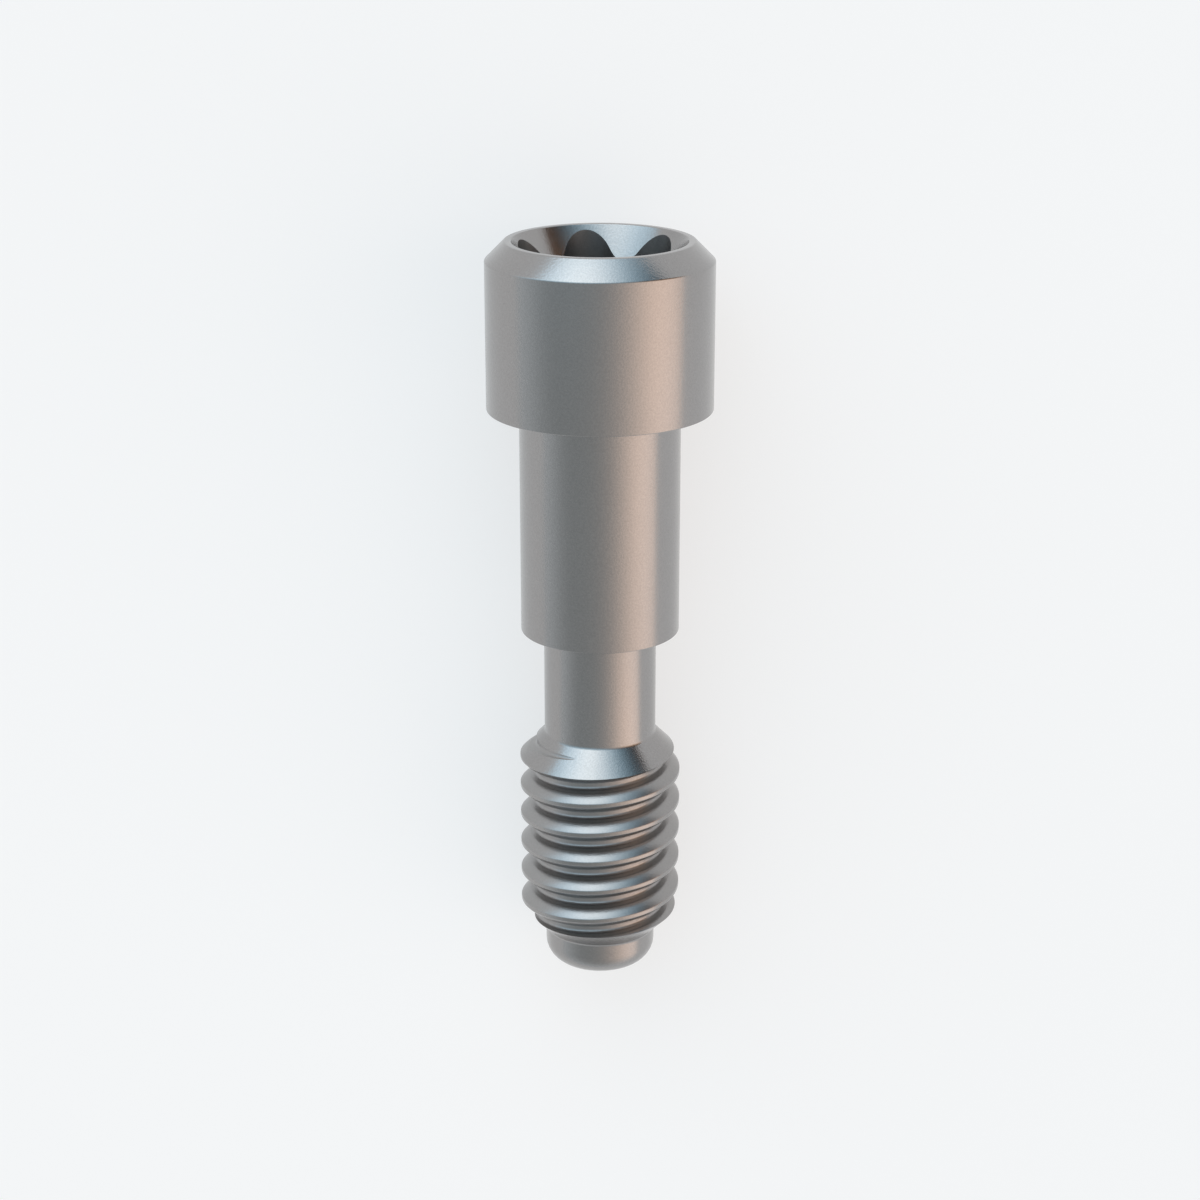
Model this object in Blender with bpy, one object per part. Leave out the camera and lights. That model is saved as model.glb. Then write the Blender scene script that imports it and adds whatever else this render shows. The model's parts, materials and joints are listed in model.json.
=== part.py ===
"""A dental prosthetic screw, turned in one piece from titanium alloy, lying on its side as it comes to rest.

Run it with: blender --background --python part.py
Lengths are in metres. The screw is made on its own axis, head up, with the seat under the head at Z = 0.
It is then laid down, so that the middle of its underside is the world's origin and its head points to +Y.
"""

import math

import bmesh
import bpy
from mathutils import Matrix, Vector, geometry

MM = 0.001

# Head: a plain cylinder with a broad chamfer round its top
HEAD_DIA = 2.455 * MM
HEAD_HEIGHT = 1.82 * MM
HEAD_CHAMFER = 0.21 * MM
SEAT_FILLET = 0.05 * MM

# Shank: the smooth guiding length under the head
SHANK_DIA = 1.75 * MM
SHANK_LENGTH = 2.51 * MM

# Waist: the thinner stretch that lets the screw stretch when it is tightened
WAIST_DIA = 1.245 * MM
WAIST_LENGTH = 1.21 * MM

# Thread: metric fine, right-handed, chamfered at both ends
THREAD_DIA = 1.8 * MM
THREAD_PITCH = 0.35 * MM
THREAD_LENGTH = 2.41 * MM
THREAD_END_ANGLE = math.radians(45)
FLANK_ANGLE = math.radians(30)
CREST_SHARE = 1 / 8
ROOT_SHARE = 1 / 4
CREST_DROP = 0.213 * MM  # from the start of the thread to its first crest, on the screw's front

# Pilot: the plain tip that leads the thread into its hole
TIP_DIA = 1.24 * MM
TIP_LENGTH = 0.415 * MM
TIP_RADIUS = 0.25 * MM

# Mouth: a countersink inside a narrow flat rim
RIM_LAND = 0.0725 * MM
MOUTH_ANGLE = math.radians(60)

# Socket: round lobes for the driver, broached round a drilled hole that goes deeper than they do
LOBES = 6
LOBE_STEP = 0.0325 * MM  # from the mouth's edge in to the tops of the lobes
LOBE_HEIGHT = 0.175 * MM
LOBE_RADIUS = 0.28 * MM
LOBE_AZIMUTH = math.radians(100.2)  # of one lobe, from +X
SOCKET_DEPTH = 1.2 * MM
DRILL_STEP = 0.0875 * MM  # from the ridges between the lobes in to the drilled hole
DRILL_EXTRA_DEPTH = 0.15 * MM
DRILL_POINT_ANGLE = math.radians(130)

# How finely round shapes are faceted
ROUND_STEPS = 40
ARC_STEPS = 5
LOBE_STEPS = 7
RIDGE_STEPS = 5

# How far a cutter stands clear of what it cuts, and the distance at which points are merged
CUTTER_CLEAR = 0.15 * MM
CREST_CLEAR = 0.02 * MM
MERGE = 0.0001 * MM

# Radii and heights that follow from the sizes above
RIM_R = HEAD_DIA / 2 - HEAD_CHAMFER
MOUTH_R = RIM_R - RIM_LAND
SOCKET_R = MOUTH_R - LOBE_STEP
RIDGE_R = SOCKET_R - LOBE_HEIGHT
DRILL_R = RIDGE_R - DRILL_STEP
RIM_Z = HEAD_HEIGHT
SOCKET_FLOOR_Z = RIM_Z - SOCKET_DEPTH
SHANK_END_Z = -SHANK_LENGTH
THREAD_TOP_Z = SHANK_END_Z - WAIST_LENGTH
THREAD_END_Z = THREAD_TOP_Z - THREAD_LENGTH
TIP_Z = THREAD_END_Z - TIP_LENGTH

TITANIUM = (0.33, 0.32, 0.315, 1.0)


def clear_scene():
    """Remove what the scene already holds."""
    for obj in list(bpy.data.objects):
        bpy.data.objects.remove(obj, do_unlink=True)


def titanium_material():
    """Satin turned titanium."""
    material = bpy.data.materials.new("satin_titanium")
    material.use_nodes = True
    shader = material.node_tree.nodes["Principled BSDF"]
    shader.inputs["Base Color"].default_value = TITANIUM
    shader.inputs["Metallic"].default_value = 1.0
    shader.inputs["Roughness"].default_value = 0.38
    return material


def make_object(name, bm):
    """Turn a bmesh into an object, with its points merged, its faces pointing out and round faces smooth."""
    bmesh.ops.remove_doubles(bm, verts=bm.verts[:], dist=MERGE)
    bmesh.ops.recalc_face_normals(bm, faces=bm.faces[:])
    mesh = bpy.data.meshes.new(name)
    bm.to_mesh(mesh)
    bm.free()
    mesh.shade_smooth()
    mesh.set_sharp_from_angle(angle=math.radians(20))
    obj = bpy.data.objects.new(name, mesh)
    bpy.context.collection.objects.link(obj)
    return obj


def arc(centre_r, centre_z, radius, start, end, steps=ARC_STEPS):
    """Points (r, z) of an arc from one angle to another, with both ends."""
    angles = [start + (end - start) * i / steps for i in range(steps + 1)]
    return [(centre_r + radius * math.cos(a), centre_z + radius * math.sin(a)) for a in angles]


def turn(name, profile):
    """Revolve a profile of (r, z) points about Z, with a flat facet facing each of X and Y."""
    bm = bmesh.new()
    verts = [bm.verts.new((r, 0, z)) for r, z in profile]
    for a, b in zip(verts, verts[1:]):
        bm.edges.new((a, b))
    half_step = Matrix.Rotation(math.pi / ROUND_STEPS, 3, "Z")
    bmesh.ops.rotate(bm, cent=(0, 0, 0), matrix=half_step, verts=bm.verts[:])
    bmesh.ops.spin(
        bm,
        geom=bm.verts[:] + bm.edges[:],
        cent=(0, 0, 0),
        axis=(0, 0, 1),
        angle=math.tau,
        steps=ROUND_STEPS,
        use_merge=True,
    )
    return make_object(name, bm)


def blank():
    """The turned blank, before the thread and the socket are cut."""
    head_r = HEAD_DIA / 2
    shank_r = SHANK_DIA / 2
    waist_r = WAIST_DIA / 2
    thread_r = THREAD_DIA / 2
    tip_r = TIP_DIA / 2
    top_chamfer = (thread_r - waist_r) / math.tan(THREAD_END_ANGLE)
    end_chamfer = (thread_r - tip_r) / math.tan(THREAD_END_ANGLE)
    corner = min(TIP_RADIUS, TIP_LENGTH)
    profile = [(0, RIM_Z), (RIM_R, RIM_Z), (head_r, RIM_Z - HEAD_CHAMFER), (head_r, 0)]
    profile += arc(shank_r + SEAT_FILLET, -SEAT_FILLET, SEAT_FILLET, math.pi / 2, math.pi)
    profile += [(shank_r, SHANK_END_Z), (waist_r, SHANK_END_Z), (waist_r, THREAD_TOP_Z)]
    profile += [(thread_r, THREAD_TOP_Z - top_chamfer), (thread_r, THREAD_END_Z + end_chamfer)]
    profile += [(tip_r, THREAD_END_Z)]
    profile += arc(tip_r - corner, TIP_Z + corner, corner, 0, -math.pi / 2)
    profile += [(0, TIP_Z)]
    return turn("prosthetic_screw", profile)


def mouth_cutter():
    """The countersink, the drilled hole under it and the hole's pointed end, as one turned tool."""
    flare = math.tan(MOUTH_ANGLE / 2)
    cone_end_z = RIM_Z - (MOUTH_R - DRILL_R) / flare
    drill_end_z = SOCKET_FLOOR_Z - DRILL_EXTRA_DEPTH
    point_z = drill_end_z - DRILL_R / math.tan(DRILL_POINT_ANGLE / 2)
    top_z = RIM_Z + CUTTER_CLEAR
    profile = [(0, top_z), (MOUTH_R + CUTTER_CLEAR * flare, top_z), (DRILL_R, cone_end_z)]
    profile += [(DRILL_R, drill_end_z), (0, point_z)]
    return turn("mouth_cutter", profile)


def lobed_outline():
    """Points of the socket's outline: round lobes and round ridges that run smoothly into each other."""
    lobe_centre = SOCKET_R - LOBE_RADIUS
    half_pitch = math.pi / LOBES
    # A ridge is the arc that touches the lobes on both sides of it from outside, which fixes its radius.
    along = lobe_centre * math.cos(half_pitch)
    ridge_radius = (lobe_centre**2 + RIDGE_R**2 - 2 * RIDGE_R * along - LOBE_RADIUS**2) / (
        2 * (LOBE_RADIUS + along - RIDGE_R)
    )
    ridge_centre = RIDGE_R + ridge_radius
    lobe_half = math.atan2(
        ridge_centre * math.sin(half_pitch), ridge_centre * math.cos(half_pitch) - lobe_centre
    )
    ridge_half = lobe_half - half_pitch
    points = []
    for lobe in range(LOBES):
        middle = LOBE_AZIMUTH + lobe * 2 * half_pitch
        centre = Vector((lobe_centre * math.cos(middle), lobe_centre * math.sin(middle)))
        for i in range(LOBE_STEPS + 1):
            angle = middle - lobe_half + 2 * lobe_half * i / LOBE_STEPS
            points.append(centre + LOBE_RADIUS * Vector((math.cos(angle), math.sin(angle))))
        middle += half_pitch
        centre = Vector((ridge_centre * math.cos(middle), ridge_centre * math.sin(middle)))
        for i in range(1, RIDGE_STEPS):
            angle = middle + math.pi + ridge_half - 2 * ridge_half * i / RIDGE_STEPS
            points.append(centre + ridge_radius * Vector((math.cos(angle), math.sin(angle))))
    return points


def socket_cutter():
    """The lobed broach, from above the rim down to the socket's floor."""
    bm = bmesh.new()
    floor = bm.faces.new([bm.verts.new((p.x, p.y, SOCKET_FLOOR_Z)) for p in lobed_outline()])
    walls = bmesh.ops.extrude_face_region(bm, geom=[floor], use_keep_orig=True)
    raised = [v for v in walls["geom"] if isinstance(v, bmesh.types.BMVert)]
    bmesh.ops.translate(bm, vec=(0, 0, SOCKET_DEPTH + CUTTER_CLEAR), verts=raised)
    return make_object("socket_cutter", bm)


def thread_cutter():
    """The thread's groove: the section of the cut, carried up round the axis as a right-handed helix."""
    flank_rise = THREAD_PITCH * (1 - CREST_SHARE - ROOT_SHARE) / 2
    inner_r = THREAD_DIA / 2 - flank_rise / math.tan(FLANK_ANGLE)
    outer_r = THREAD_DIA / 2 + CREST_CLEAR
    root_half = THREAD_PITCH * ROOT_SHARE / 2
    mouth_half = root_half + (outer_r - inner_r) * math.tan(FLANK_ANGLE)
    # The sweep starts on the screw's front, which is -Y, whole turns below the groove under the first crest.
    first_groove_z = THREAD_TOP_Z - CREST_DROP - THREAD_PITCH / 2
    turns_down = math.ceil((first_groove_z - THREAD_END_Z + mouth_half) / THREAD_PITCH)
    start_z = first_groove_z - turns_down * THREAD_PITCH
    rise = THREAD_PITCH / ROUND_STEPS
    steps = math.ceil((THREAD_TOP_Z + mouth_half - start_z) / rise)
    section = [(inner_r, -root_half), (outer_r, -mouth_half), (outer_r, mouth_half), (inner_r, root_half)]
    bm = bmesh.new()
    face = bm.faces.new([bm.verts.new((0, -r, start_z + z)) for r, z in section])
    bmesh.ops.spin(
        bm,
        geom=[face],
        cent=(0, 0, 0),
        axis=(0, 0, 1),
        dvec=(0, 0, rise),
        angle=math.tau * steps / ROUND_STEPS,
        steps=steps,
    )
    return make_object("thread_cutter", bm)


def cut(target, cutter):
    """Take one cutter's shape out of the target, and leave the cutter out of renders."""
    cutter.hide_render = True
    cutter.display_type = "WIRE"
    cutter.parent = target.parent
    modifier = target.modifiers.new(cutter.name, "BOOLEAN")
    modifier.operation = "DIFFERENCE"
    modifier.solver = "EXACT"
    modifier.object = cutter


def balance_height(mesh):
    """Height of the centre of mass on the screw's axis, summed over the solid's triangles."""
    mesh.calc_loop_triangles()
    volume = 0.0
    moment = 0.0
    for triangle in mesh.loop_triangles:
        a, b, c = (mesh.vertices[i].co for i in triangle.vertices)
        share = a.dot(b.cross(c)) / 6
        volume += share
        moment += share * (a.z + b.z + c.z) / 4
    return moment / volume


def resting_tilt(mesh):
    """Tilt at which the screw lies still: that of its outline's edge beside the centre of mass, on +Y."""
    balance = balance_height(mesh)
    outline = [(v.co.z, v.co.y) for v in mesh.vertices]
    hull = [outline[i] for i in geometry.convex_hull_2d(outline)]
    for a, b in zip(hull, hull[1:] + hull[:1]):
        low, high = sorted((a, b))
        if low[0] < balance < high[0] and low[1] > 0:
            return math.atan2(high[1] - low[1], high[0] - low[0])
    raise ValueError("no edge of the outline lies under the centre of mass")


def lay_down(screw, axis):
    """Lay the screw on its back, so that its head's lower edge and its last full crest touch the ground."""
    graph = bpy.context.evaluated_depsgraph_get()
    solid = screw.evaluated_get(graph).to_mesh()
    turn_over = Matrix.Rotation(resting_tilt(solid) - math.pi / 2, 4, "X")
    laid = [turn_over @ v.co for v in solid.vertices]
    low = Vector([min(p[i] for p in laid) for i in range(3)])
    high = Vector([max(p[i] for p in laid) for i in range(3)])
    middle = (low + high) / 2
    axis.matrix_world = Matrix.Translation((-middle.x, -middle.y, -low.z)) @ turn_over


clear_scene()
screw_axis = bpy.data.objects.new("screw_axis", None)
bpy.context.collection.objects.link(screw_axis)
screw = blank()
screw.parent = screw_axis
screw.data.materials.append(titanium_material())
for tool in (socket_cutter(), mouth_cutter(), thread_cutter()):
    cut(screw, tool)
lay_down(screw, screw_axis)
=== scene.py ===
import json
import math

import bmesh
import bpy
from mathutils import Matrix, Vector


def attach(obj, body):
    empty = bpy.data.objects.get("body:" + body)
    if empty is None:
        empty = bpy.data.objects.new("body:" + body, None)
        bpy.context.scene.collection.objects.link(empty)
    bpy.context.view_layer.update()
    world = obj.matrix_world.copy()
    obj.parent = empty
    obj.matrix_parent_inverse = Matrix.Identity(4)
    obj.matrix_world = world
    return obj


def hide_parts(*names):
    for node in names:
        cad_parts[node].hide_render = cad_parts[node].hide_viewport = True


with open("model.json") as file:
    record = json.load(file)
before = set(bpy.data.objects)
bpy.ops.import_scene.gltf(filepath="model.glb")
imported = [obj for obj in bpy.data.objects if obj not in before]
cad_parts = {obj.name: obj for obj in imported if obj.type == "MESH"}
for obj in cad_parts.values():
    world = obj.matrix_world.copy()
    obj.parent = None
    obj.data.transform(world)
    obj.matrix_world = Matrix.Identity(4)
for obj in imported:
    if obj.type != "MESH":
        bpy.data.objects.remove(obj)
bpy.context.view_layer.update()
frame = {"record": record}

# The turned blank: head, shank, waist, thread land and plain tip, turned from one bar of titanium alloy.
# The driver's hole is drilled and countersunk on the same lathe. The half-section is drawn head up, with the
# seat at Z = 0, and the lathe's small edge breaks and tool radii are part of it.
MM = 0.001
HEAD_DIA = 2.455 * MM
HEAD_HEIGHT = 1.82 * MM
HEAD_CHAMFER = 0.21 * MM
SEAT_FILLET = 0.05 * MM
SHANK_DIA = 1.75 * MM
SHANK_LENGTH = 2.51 * MM
WAIST_DIA = 1.245 * MM
WAIST_LENGTH = 1.21 * MM
THREAD_DIA = 1.8 * MM
THREAD_LENGTH = 2.41 * MM
THREAD_END_ANGLE = math.radians(45)
TIP_DIA = 1.24 * MM
TIP_LENGTH = 0.415 * MM
TIP_RADIUS = 0.25 * MM
RIM_LAND = 0.0725 * MM
MOUTH_ANGLE = math.radians(60)
DRILL_DIA = 1.3 * MM
DRILL_DEPTH = 1.35 * MM
DRILL_POINT_ANGLE = math.radians(130)
EDGE_BREAK = 0.01 * MM
TOOL_RADIUS = 0.02 * MM
ARC_STEPS = 8
TURN_STEPS = 120
MERGE = 0.00005 * MM
turned_titanium = bpy.data.materials.new("turned_titanium")

head_r = HEAD_DIA / 2
shank_r = SHANK_DIA / 2
waist_r = WAIST_DIA / 2
thread_r = THREAD_DIA / 2
tip_r = TIP_DIA / 2
drill_r = DRILL_DIA / 2
rim_r = head_r - HEAD_CHAMFER
mouth_r = rim_r - RIM_LAND
shank_end_z = -SHANK_LENGTH
thread_top_z = shank_end_z - WAIST_LENGTH
thread_end_z = thread_top_z - THREAD_LENGTH
tip_z = thread_end_z - TIP_LENGTH
land_top_z = thread_top_z - (thread_r - waist_r) / math.tan(THREAD_END_ANGLE)
land_end_z = thread_end_z + (thread_r - tip_r) / math.tan(THREAD_END_ANGLE)
countersink_end_z = HEAD_HEIGHT - (mouth_r - drill_r) / math.tan(MOUTH_ANGLE / 2)
drill_end_z = HEAD_HEIGHT - DRILL_DEPTH
drill_point_z = drill_end_z - drill_r / math.tan(DRILL_POINT_ANGLE / 2)

# Each corner of the half-section: its radius, its height and the width of its rounding.
section_corners = [
    (0, drill_point_z, 0),
    (drill_r, drill_end_z, TOOL_RADIUS),
    (drill_r, countersink_end_z, 0),
    (mouth_r, HEAD_HEIGHT, EDGE_BREAK),
    (rim_r, HEAD_HEIGHT, EDGE_BREAK),
    (head_r, HEAD_HEIGHT - HEAD_CHAMFER, EDGE_BREAK),
    (head_r, 0, EDGE_BREAK),
    (shank_r, 0, SEAT_FILLET),
    (shank_r, shank_end_z, EDGE_BREAK),
    (waist_r, shank_end_z, TOOL_RADIUS),
    (waist_r, thread_top_z, TOOL_RADIUS),
    (thread_r, land_top_z, EDGE_BREAK),
    (thread_r, land_end_z, EDGE_BREAK),
    (tip_r, thread_end_z, TOOL_RADIUS),
    (tip_r, tip_z, TIP_RADIUS),
    (0, tip_z, 0),
]


def round_corners(bm, rounding):
    """Round the given corners of a flat section, each by its own width."""
    for width in sorted(set(rounding.values()) - {0}):
        corners = [corner for corner, wanted in rounding.items() if wanted == width]
        bmesh.ops.bevel(
            bm,
            geom=corners,
            offset=width,
            offset_type="OFFSET",
            segments=ARC_STEPS,
            profile=0.5,
            affect="VERTICES",
            material=-1,
        )


def solid_piece(name, bm, material):
    """Close a bmesh's seams and poles, turn its faces outwards and make it an object of one material."""
    bmesh.ops.remove_doubles(bm, verts=bm.verts[:], dist=MERGE)
    bmesh.ops.recalc_face_normals(bm, faces=bm.faces[:])
    mesh = bpy.data.meshes.new(name)
    bm.to_mesh(mesh)
    bm.free()
    mesh.materials.append(material)
    piece = bpy.data.objects.new(name, mesh)
    bpy.context.collection.objects.link(piece)
    return piece


def turned_blank():
    """The half-section with its corners rounded, turned about the screw's axis."""
    bm = bmesh.new()
    corners = {bm.verts.new((0, -r, z)): rounding for r, z, rounding in section_corners}
    half_section = bm.faces.new(list(corners))
    round_corners(bm, corners)
    bmesh.ops.delete(bm, geom=bm.faces[:], context="FACES_ONLY")
    on_axis = [edge for edge in bm.edges if all(abs(v.co.y) < MERGE for v in edge.verts)]
    bmesh.ops.delete(bm, geom=on_axis, context="EDGES")
    bmesh.ops.spin(
        bm,
        geom=bm.verts[:] + bm.edges[:],
        cent=(0, 0, 0),
        axis=(0, 0, 1),
        angle=math.tau,
        steps=TURN_STEPS,
        use_merge=True,
    )
    return solid_piece("turned_screw", bm, turned_titanium)


screw = turned_blank()

# The socket for the driver: six round lobes, broached straight down round the drilled hole.
# Where the lobes leave the countersink's cone, their walls end in arches.
LOBES = 6
LOBE_STEP = 0.0325 * MM
LOBE_HEIGHT = 0.175 * MM
LOBE_RADIUS = 0.28 * MM
LOBE_AZIMUTH = math.radians(100.2)
SOCKET_DEPTH = 1.2 * MM
CUTTER_CLEAR = 0.15 * MM
LOBE_ARC_STEPS = 20
RIDGE_ARC_STEPS = 12
broached_titanium = bpy.data.materials.new("broached_titanium")

socket_r = mouth_r - LOBE_STEP
ridge_r = socket_r - LOBE_HEIGHT
lobe_centre_r = socket_r - LOBE_RADIUS
half_pitch = math.pi / LOBES


def lobed_broach():
    """The broach: lobes joined by round ridges that touch them, as a wire, filled and drawn up."""
    along = lobe_centre_r * math.cos(half_pitch)
    ridge_radius = (lobe_centre_r**2 + ridge_r**2 - 2 * ridge_r * along - LOBE_RADIUS**2) / (
        2 * (LOBE_RADIUS + along - ridge_r)
    )
    ridge_centre_r = ridge_r + ridge_radius
    lobe_half = math.atan2(
        ridge_centre_r * math.sin(half_pitch), ridge_centre_r * math.cos(half_pitch) - lobe_centre_r
    )
    ridge_half = lobe_half - half_pitch
    lobe_centre = Vector((lobe_centre_r, 0, 0))
    ridge_centre = Matrix.Rotation(half_pitch, 3, "Z") @ Vector((ridge_centre_r, 0, 0))
    first_way = Matrix.Rotation(-lobe_half, 3, "Z") @ Vector((LOBE_RADIUS, 0, 0))

    bm = bmesh.new()
    first = bm.verts.new(lobe_centre + first_way)
    lobe = bmesh.ops.spin(
        bm, geom=[first], cent=lobe_centre, axis=(0, 0, 1), angle=2 * lobe_half, steps=LOBE_ARC_STEPS
    )
    bmesh.ops.spin(
        bm,
        geom=[e for e in lobe["geom_last"] if isinstance(e, bmesh.types.BMVert)],
        cent=ridge_centre,
        axis=(0, 0, 1),
        angle=-2 * ridge_half,
        steps=RIDGE_ARC_STEPS,
    )
    bmesh.ops.spin(
        bm,
        geom=bm.verts[:] + bm.edges[:],
        cent=(0, 0, 0),
        axis=(0, 0, 1),
        angle=math.tau,
        steps=LOBES,
        use_duplicate=True,
    )
    bmesh.ops.remove_doubles(bm, verts=bm.verts[:], dist=MERGE)
    turn_to_lobe = Matrix.Rotation(LOBE_AZIMUTH, 3, "Z")
    bmesh.ops.rotate(bm, cent=(0, 0, 0), matrix=turn_to_lobe, verts=bm.verts[:])
    bmesh.ops.translate(bm, vec=(0, 0, HEAD_HEIGHT - SOCKET_DEPTH), verts=bm.verts[:])
    outline = bmesh.ops.contextual_create(bm, geom=bm.edges[:])
    walls = bmesh.ops.extrude_face_region(bm, geom=outline["faces"], use_keep_orig=True)
    raised = [v for v in walls["geom"] if isinstance(v, bmesh.types.BMVert)]
    bmesh.ops.translate(bm, vec=(0, 0, SOCKET_DEPTH + CUTTER_CLEAR), verts=raised)
    return solid_piece("lobed_broach", bm, broached_titanium)


def cut_away(piece, cutter):
    """Cut the piece, which keeps the cutter's finish on the cut faces, and remove the cutter."""
    modifier = piece.modifiers.new("cut", "BOOLEAN")
    modifier.operation = "DIFFERENCE"
    modifier.solver = "EXACT"
    modifier.material_mode = "TRANSFER"
    modifier.object = cutter
    graph = bpy.context.evaluated_depsgraph_get()
    cut = bpy.data.meshes.new_from_object(piece.evaluated_get(graph))
    piece.modifiers.clear()
    piece.data = cut
    bpy.data.objects.remove(cutter, do_unlink=True)


cut_away(screw, lobed_broach())

# The thread: metric fine, right-handed, cut by one helical groove that runs out on the cones at both ends.
# Its flanks are a little crowned and its root is round, as on a polished thread. The crests stay flat.
THREAD_PITCH = 0.35 * MM
FLANK_ANGLE = math.radians(30)
FLANK_ANGLE_AT_ROOT = math.radians(14)
FLANK_ANGLE_AT_CREST = math.radians(48)
CREST_SHARE = 1 / 8
ROOT_SHARE = 1 / 4
CREST_DROP = 0.213 * MM
ROOT_RADIUS = 0.03 * MM
FLANK_ROUNDING = 0.1 * MM
CREST_BREAK = 0.003 * MM
CREST_BREAK_ANGLE = math.radians(65)
CREST_CLEAR = 0.02 * MM
whirled_titanium = bpy.data.materials.new("whirled_titanium")


def thread_groove():
    """The groove's section on the screw's front, carried up round the axis."""
    root_half = THREAD_PITCH * ROOT_SHARE / 2
    crest_half = THREAD_PITCH * (1 - CREST_SHARE) / 2
    root_r = thread_r - (crest_half - root_half) / math.tan(FLANK_ANGLE)
    low, mean, high = (math.tan(a) for a in (FLANK_ANGLE_AT_ROOT, FLANK_ANGLE, FLANK_ANGLE_AT_CREST))
    bend_r = root_r + (thread_r - root_r) * (high - mean) / (high - low)
    bend_half = root_half + (bend_r - root_r) * low
    knee_r = thread_r - CREST_BREAK
    knee_half = crest_half - CREST_BREAK * high
    outer_r = thread_r + CREST_CLEAR
    outer_half = knee_half + (outer_r - knee_r) * math.tan(CREST_BREAK_ANGLE)
    section = [
        (root_r, root_half, ROOT_RADIUS),
        (bend_r, bend_half, FLANK_ROUNDING),
        (knee_r, knee_half, 0),
        (outer_r, outer_half, 0),
    ]
    section = [(r, -z, rounding) for r, z, rounding in section] + section[::-1]

    first_groove_z = thread_top_z - CREST_DROP - THREAD_PITCH / 2
    turns_down = math.ceil((first_groove_z - thread_end_z + outer_half) / THREAD_PITCH)
    start_z = first_groove_z - turns_down * THREAD_PITCH
    rise = THREAD_PITCH / TURN_STEPS
    steps = math.ceil((thread_top_z + outer_half - start_z) / rise)

    bm = bmesh.new()
    corners = {bm.verts.new((0, -r, start_z + z)): rounding for r, z, rounding in section}
    bm.faces.new(list(corners))
    round_corners(bm, corners)
    bmesh.ops.spin(
        bm,
        geom=bm.faces[:],
        cent=(0, 0, 0),
        axis=(0, 0, 1),
        dvec=(0, 0, rise),
        angle=math.tau * steps / TURN_STEPS,
        steps=steps,
    )
    return solid_piece("thread_groove", bm, whirled_titanium)


cut_away(screw, thread_groove())

# The finished screw lies on its side where its solid lies. The record's seat mount gives its axis and seat.
# The mount is on the ring under the head, on the side that faces up.
SHARP_ANGLE = math.radians(14)

seat = next(mount for mount in frame["record"]["mounts"] if mount["name"] == "seat")
head_way = -Vector(seat["axis"]).normalized()
up_way = Vector((1, 0, 0)).cross(head_way)
ring_middle_r = (shank_r + SEAT_FILLET + head_r) / 2
axis_point = Vector(seat["pos_m"]) - ring_middle_r * up_way
laid_down = Matrix((Vector((1, 0, 0)), -up_way, head_way)).transposed().to_4x4()
laid_down.translation = axis_point

bm = bmesh.new()
bm.from_mesh(screw.data)
bmesh.ops.remove_doubles(bm, verts=bm.verts[:], dist=MERGE)
bmesh.ops.recalc_face_normals(bm, faces=bm.faces[:])
bmesh.ops.transform(bm, matrix=laid_down, verts=bm.verts[:])
bm.to_mesh(screw.data)
bm.free()
screw.data.shade_smooth()
screw.data.set_sharp_from_angle(angle=SHARP_ANGLE)

# The finish: bare titanium alloy, fine-turned and tumbled, grey and a little warm, with a fine even grain.
# The feed marks of the lathe run round the axis, so the pattern is turned to the screw's own axis.
# The thread's groove, whirled with a small cutter, and the broached walls of the socket are duller.
TITANIUM = (0.33, 0.32, 0.315)
GRAIN_SIZE = 0.02 * MM
GRAIN_DEPTH = 0.001 * MM
GRAIN_DARK = 0.94
GRAIN_LIGHT = 1.06
GRAIN_SPREAD = (0.25, 0.75)
FEED = 0.012 * MM
FEED_DEPTH = 0.00008 * MM
FEED_WANDER = 0.6
ONE_RING_PER_METRE = math.pi / 10
CLOUD_SIZE = 0.35 * MM
TURNED_ROUGHNESS = (0.18, 0.24)
WHIRLED_ROUGHNESS = (0.27, 0.33)
BROACHED_ROUGHNESS = (0.36, 0.44)


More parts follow.
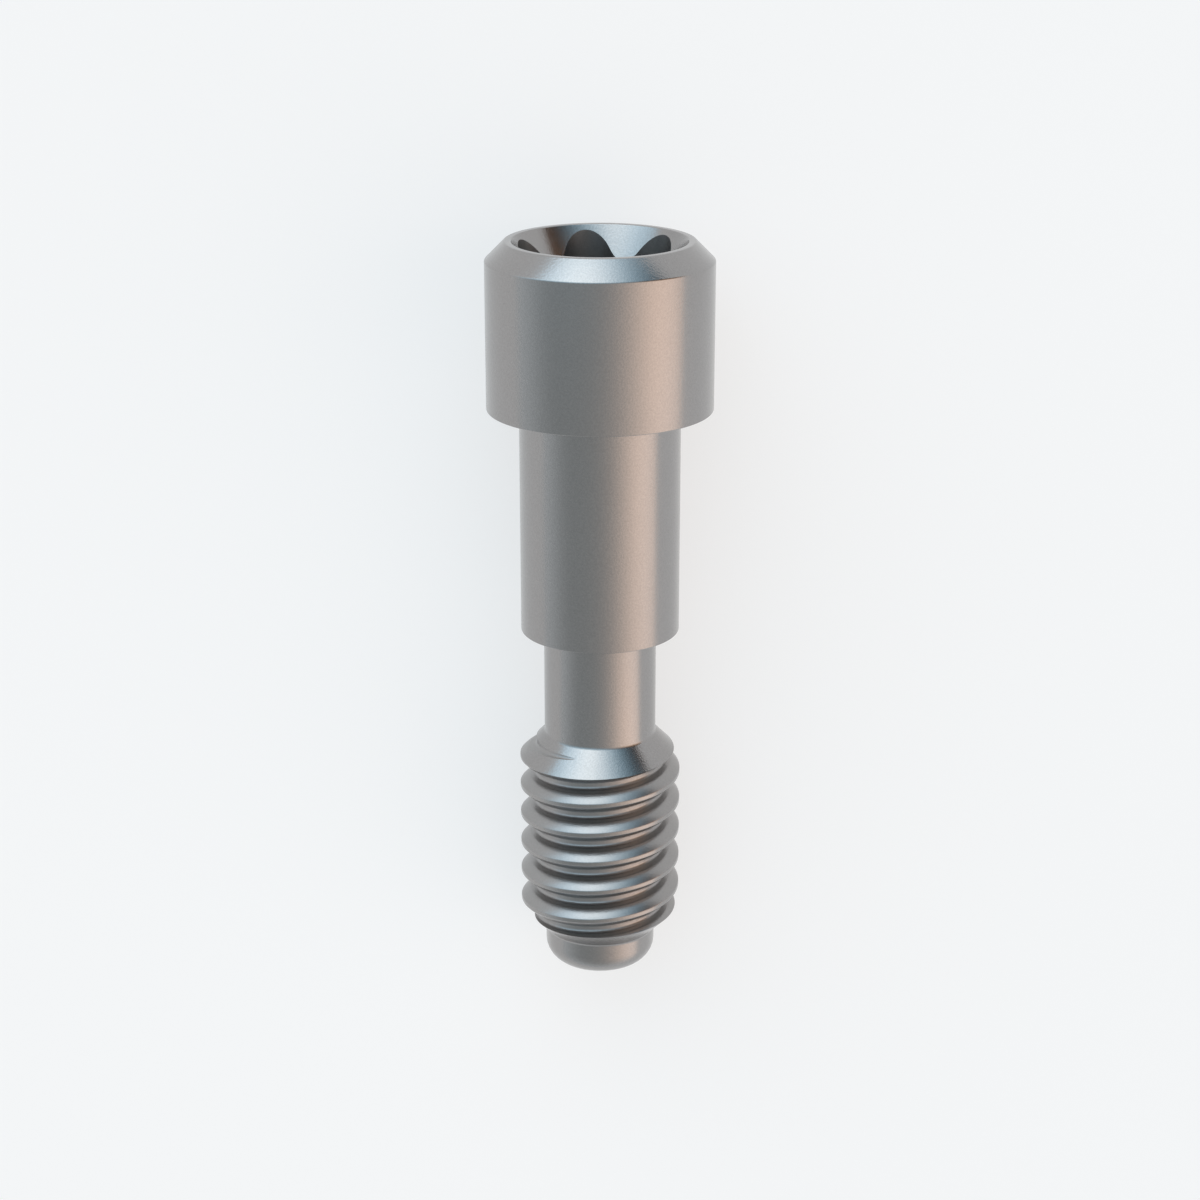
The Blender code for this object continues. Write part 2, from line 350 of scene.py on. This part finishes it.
def bare_metal(material, roughness):
    """Metal with a fine grain, faint rings left by the lathe, and a slow change in its polish."""
    material.use_nodes = True
    nodes = material.node_tree.nodes
    link = material.node_tree.links.new
    metal = nodes["Principled BSDF"]
    metal.inputs["Metallic"].default_value = 1

    place = nodes.new("ShaderNodeTexCoord")
    on_axis = nodes.new("ShaderNodeMapping")
    on_axis.vector_type = "TEXTURE"
    on_axis.inputs["Location"].default_value = laid_down.translation
    on_axis.inputs["Rotation"].default_value = laid_down.to_euler()
    link(place.outputs["Object"], on_axis.inputs["Vector"])

    grain = nodes.new("ShaderNodeTexNoise")
    grain.inputs["Scale"].default_value = 1 / GRAIN_SIZE
    grain.inputs["Detail"].default_value = 1
    link(on_axis.outputs["Vector"], grain.inputs["Vector"])
    grain_bump = nodes.new("ShaderNodeBump")
    grain_bump.inputs["Distance"].default_value = GRAIN_DEPTH
    link(grain.outputs["Fac"], grain_bump.inputs["Height"])
    shade = nodes.new("ShaderNodeMapRange")
    shade.inputs["From Min"].default_value = GRAIN_SPREAD[0]
    shade.inputs["From Max"].default_value = GRAIN_SPREAD[1]
    shade.inputs["To Min"].default_value = GRAIN_DARK
    shade.inputs["To Max"].default_value = GRAIN_LIGHT
    link(grain.outputs["Fac"], shade.inputs["Value"])
    grained = nodes.new("ShaderNodeVectorMath")
    grained.operation = "SCALE"
    grained.inputs["Vector"].default_value = TITANIUM
    link(shade.outputs["Result"], grained.inputs["Scale"])
    link(grained.outputs["Vector"], metal.inputs["Base Color"])

    rings = nodes.new("ShaderNodeTexWave")
    rings.wave_type = "BANDS"
    rings.bands_direction = "Z"
    rings.inputs["Scale"].default_value = ONE_RING_PER_METRE / FEED
    rings.inputs["Distortion"].default_value = FEED_WANDER
    link(on_axis.outputs["Vector"], rings.inputs["Vector"])
    ring_bump = nodes.new("ShaderNodeBump")
    ring_bump.inputs["Distance"].default_value = FEED_DEPTH
    link(rings.outputs["Fac"], ring_bump.inputs["Height"])
    link(grain_bump.outputs["Normal"], ring_bump.inputs["Normal"])
    link(ring_bump.outputs["Normal"], metal.inputs["Normal"])

    clouds = nodes.new("ShaderNodeTexNoise")
    clouds.inputs["Scale"].default_value = 1 / CLOUD_SIZE
    link(on_axis.outputs["Vector"], clouds.inputs["Vector"])
    polish = nodes.new("ShaderNodeMapRange")
    polish.inputs["To Min"].default_value = roughness[0]
    polish.inputs["To Max"].default_value = roughness[1]
    link(clouds.outputs["Fac"], polish.inputs["Value"])
    link(polish.outputs["Result"], metal.inputs["Roughness"])


bare_metal(turned_titanium, TURNED_ROUGHNESS)
bare_metal(whirled_titanium, WHIRLED_ROUGHNESS)
bare_metal(broached_titanium, BROACHED_ROUGHNESS)
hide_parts("prosthetic_screw")
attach(screw, "root")

# The table: a plain white matt top, on which the screw rests at its lowest line.
# What looks at it, the eye or the metal, sees it near white, and it keeps a faint shadow of the screw.
TABLE_SIZE = 1.2
TABLE_WHITE = (0.93, 0.93, 0.93, 1)
TABLE_ROUGHNESS = 0.9
WHITE_SHARE = 0.6

table_z = min((screw.matrix_world @ v.co).z for v in screw.data.vertices)
table_top = bpy.data.materials.new("white_table_top")
table_top.use_nodes = True
table_top.cycles.emission_sampling = "NONE"
nodes = table_top.node_tree.nodes
link = table_top.node_tree.links.new
matt = nodes["Principled BSDF"]
matt.inputs["Base Color"].default_value = TABLE_WHITE
matt.inputs["Roughness"].default_value = TABLE_ROUGHNESS
matt.inputs["Specular IOR Level"].default_value = 0
white = nodes.new("ShaderNodeEmission")
seen = nodes.new("ShaderNodeLightPath")
seen_or_mirrored = nodes.new("ShaderNodeMath")
seen_or_mirrored.operation = "MAXIMUM"
link(seen.outputs["Is Camera Ray"], seen_or_mirrored.inputs[0])
link(seen.outputs["Is Glossy Ray"], seen_or_mirrored.inputs[1])
or_through_glass = nodes.new("ShaderNodeMath")
or_through_glass.operation = "MAXIMUM"
link(seen_or_mirrored.outputs["Value"], or_through_glass.inputs[0])
link(seen.outputs["Is Transmission Ray"], or_through_glass.inputs[1])
share = nodes.new("ShaderNodeMath")
share.operation = "MULTIPLY"
share.inputs[1].default_value = WHITE_SHARE
link(or_through_glass.outputs["Value"], share.inputs[0])
whitened = nodes.new("ShaderNodeMixShader")
link(share.outputs["Value"], whitened.inputs["Fac"])
link(matt.outputs["BSDF"], whitened.inputs[1])
link(white.outputs["Emission"], whitened.inputs[2])
link(whitened.outputs["Shader"], nodes["Material Output"].inputs["Surface"])

bm = bmesh.new()
bmesh.ops.create_grid(bm, x_segments=1, y_segments=1, size=TABLE_SIZE / 2)
bmesh.ops.translate(bm, vec=(0, 0, table_z), verts=bm.verts[:])
solid_piece("table", bm, table_top)

# The studio light: a pale room, greyer overhead, whose walls carry wide soft glows: a cool white one beyond
# the head and a warm one on the right. The corner between the two is dim.
ROOM_HORIZON = (0.78, 0.83, 0.86)
ROOM_OVERHEAD = (0.45, 0.475, 0.48)
OVERHEAD_FROM = 0.7

# Each glow: its azimuth and elevation in degrees, how tight it is, and the light that it adds.
DIM_CORNER = (48, 2, 3.2, (-0.95, -1.1, -1.2))
COOL_GLOW = (-13, 20, 4.2, (0.5, 1.4, 2.05))
COOL_GLOW_CORE = (-13, 22, 10.0, (1.5, 0.85, 0.35))
WARM_GLOW = (101, 27, 5.0, (1.57, 1.18, 0.96))

room = bpy.data.worlds.new("pale_room")
room.use_nodes = True
nodes = room.node_tree.nodes
link = room.node_tree.links.new
way = nodes.new("ShaderNodeTexCoord").outputs["Generated"]
split = nodes.new("ShaderNodeSeparateXYZ")
link(way, split.inputs["Vector"])
fade = nodes.new("ShaderNodeValToRGB")
fade.color_ramp.interpolation = "EASE"
fade.color_ramp.elements[0].color = (*ROOM_HORIZON, 1)
fade.color_ramp.elements[1].position = OVERHEAD_FROM
fade.color_ramp.elements[1].color = (*ROOM_OVERHEAD, 1)
link(split.outputs["Z"], fade.inputs["Fac"])


def wall_glow(under, azimuth, elevation, tightness, colour):
    """Add a soft round glow to the room's light, at an azimuth from +Y towards +X and an elevation."""
    azimuth, elevation = math.radians(azimuth), math.radians(elevation)
    towards_glow = nodes.new("ShaderNodeVectorMath")
    towards_glow.operation = "DOT_PRODUCT"
    towards_glow.inputs[1].default_value = (
        math.cos(elevation) * math.sin(azimuth),
        math.cos(elevation) * math.cos(azimuth),
        math.sin(elevation),
    )
    link(way, towards_glow.inputs[0])
    falloff = nodes.new("ShaderNodeMath")
    falloff.operation = "MULTIPLY_ADD"
    falloff.inputs[1].default_value = tightness
    falloff.inputs[2].default_value = -tightness
    link(towards_glow.outputs["Value"], falloff.inputs[0])
    glow = nodes.new("ShaderNodeMath")
    glow.operation = "EXPONENT"
    link(falloff.outputs["Value"], glow.inputs[0])
    lit = nodes.new("ShaderNodeVectorMath")
    lit.operation = "MULTIPLY_ADD"
    lit.inputs[1].default_value = colour
    link(glow.outputs["Value"], lit.inputs[0])
    link(under, lit.inputs[2])
    return lit.outputs["Vector"]


light = fade.outputs["Color"]
for glow in (DIM_CORNER, COOL_GLOW, COOL_GLOW_CORE, WARM_GLOW):
    light = wall_glow(light, *glow)
no_darker_than_black = nodes.new("ShaderNodeVectorMath")
no_darker_than_black.operation = "MAXIMUM"
link(light, no_darker_than_black.inputs[0])
link(no_darker_than_black.outputs["Vector"], nodes["Background"].inputs["Color"])
bpy.context.scene.world = room
bpy.context.scene.view_settings.view_transform = "Standard"

# The camera looks down on the lying screw, from where the photograph sees it: a little from the head's end.
LENS = 74.47
CAMERA_PITCH = math.radians(18.919)
CAMERA_DISTANCE = 27.48 * MM
AIM_Z = -2.194 * MM

to_camera = Vector((0, -math.cos(CAMERA_PITCH), math.sin(CAMERA_PITCH)))
picture_up = Vector((0, math.sin(CAMERA_PITCH), math.cos(CAMERA_PITCH)))
view = Matrix((Vector((1, 0, 0)), picture_up, to_camera)).transposed().to_4x4()
view.translation = Vector((0, 0, AIM_Z)) + CAMERA_DISTANCE * to_camera
camera = bpy.data.objects.new("camera", bpy.data.cameras.new("camera"))
camera.data.lens = LENS
camera.data.clip_start = 1 * MM
camera.matrix_world = laid_down @ view
bpy.context.collection.objects.link(camera)
bpy.context.scene.camera = camera
